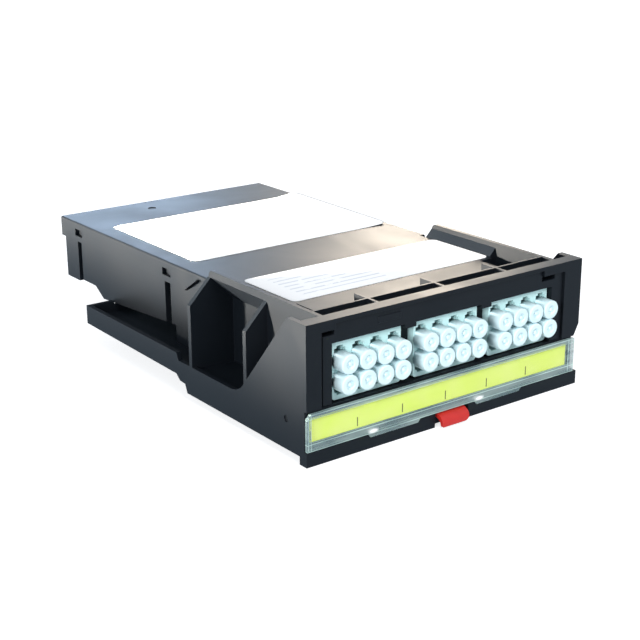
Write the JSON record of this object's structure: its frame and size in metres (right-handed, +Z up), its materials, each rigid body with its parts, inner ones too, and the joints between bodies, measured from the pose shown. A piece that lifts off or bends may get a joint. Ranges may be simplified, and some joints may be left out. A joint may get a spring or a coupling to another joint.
{
  "type": "fibre cassette",
  "caption": "Black rack fibre cassette with three pale aqua port blocks, white dust plugs, a clear label cover, a red pull latch and a lift-off lid.",
  "frame": {"origin": "middle of the bottom edge of the bezel's front face, where the cassette stops against the panel", "axes": "+X to the right along the front, +Y to the rear along the side rails, +Z up"},
  "size_m": [0.1045, 0.1626, 0.0407],
  "materials": {
    "black_satin": "satin moulded",
    "port_aqua": "satin moulded",
    "plug_white": "soft translucent moulding",
    "clear_plastic": "clear polished",
    "strip_yellow": "printed paper",
    "latch_red": "satin moulded",
    "spring_steel": "drawn wire",
    "label_white": "coated paper",
    "holder_grey": "moulded"
  },
  "bodies": {
    "housing": {"carrier": "black_satin", "cassette_base": "black_satin", "entry_plate": "black_satin", "adapter_plate": "black_satin", "adapter_left": "port_aqua", "adapter_middle": "port_aqua", "adapter_right": "port_aqua", "latch_spring": "spring_steel", "splice_holder_left": "holder_grey", "splice_holder_right": "holder_grey", "fibre_guide_left": "holder_grey", "fibre_guide_right": "holder_grey", "dust_plug_01": "plug_white", "dust_plug_02": "plug_white", "dust_plug_03": "plug_white", "dust_plug_04": "plug_white", "dust_plug_05": "plug_white", "dust_plug_06": "plug_white", "dust_plug_07": "plug_white", "dust_plug_08": "plug_white", "dust_plug_09": "plug_white", "dust_plug_10": "plug_white", "dust_plug_11": "plug_white", "dust_plug_12": "plug_white", "dust_plug_13": "plug_white", "dust_plug_14": "plug_white", "dust_plug_15": "plug_white", "dust_plug_16": "plug_white", "dust_plug_17": "plug_white", "dust_plug_18": "plug_white", "dust_plug_19": "plug_white", "dust_plug_20": "plug_white", "dust_plug_21": "plug_white", "dust_plug_22": "plug_white", "dust_plug_23": "plug_white", "dust_plug_24": "plug_white"},
    "lid_body": {"lid": "black_satin", "lid_label_front": "label_white", "lid_label_rear": "label_white"},
    "cover_body": {"label_cover": "clear_plastic", "label_strip": "strip_yellow"},
    "latch_body": {"release_latch": "latch_red"}
  },
  "joints": [
    {"name": "lid_lift", "type": "slide", "parent": "housing", "child": "lid_body", "axis": [0, 0, 1], "range_m": [0, 0.04]},
    {"name": "cover_pull", "type": "slide", "parent": "housing", "child": "cover_body", "axis": [0, -1, 0], "range_m": [0, 0.012]},
    {"name": "latch_pull", "type": "slide", "parent": "housing", "child": "latch_body", "axis": [0, -1, 0], "range_m": [0, 0.003], "stiffness_N_per_m": 300, "deforming": ["latch_spring"]}
  ]
}
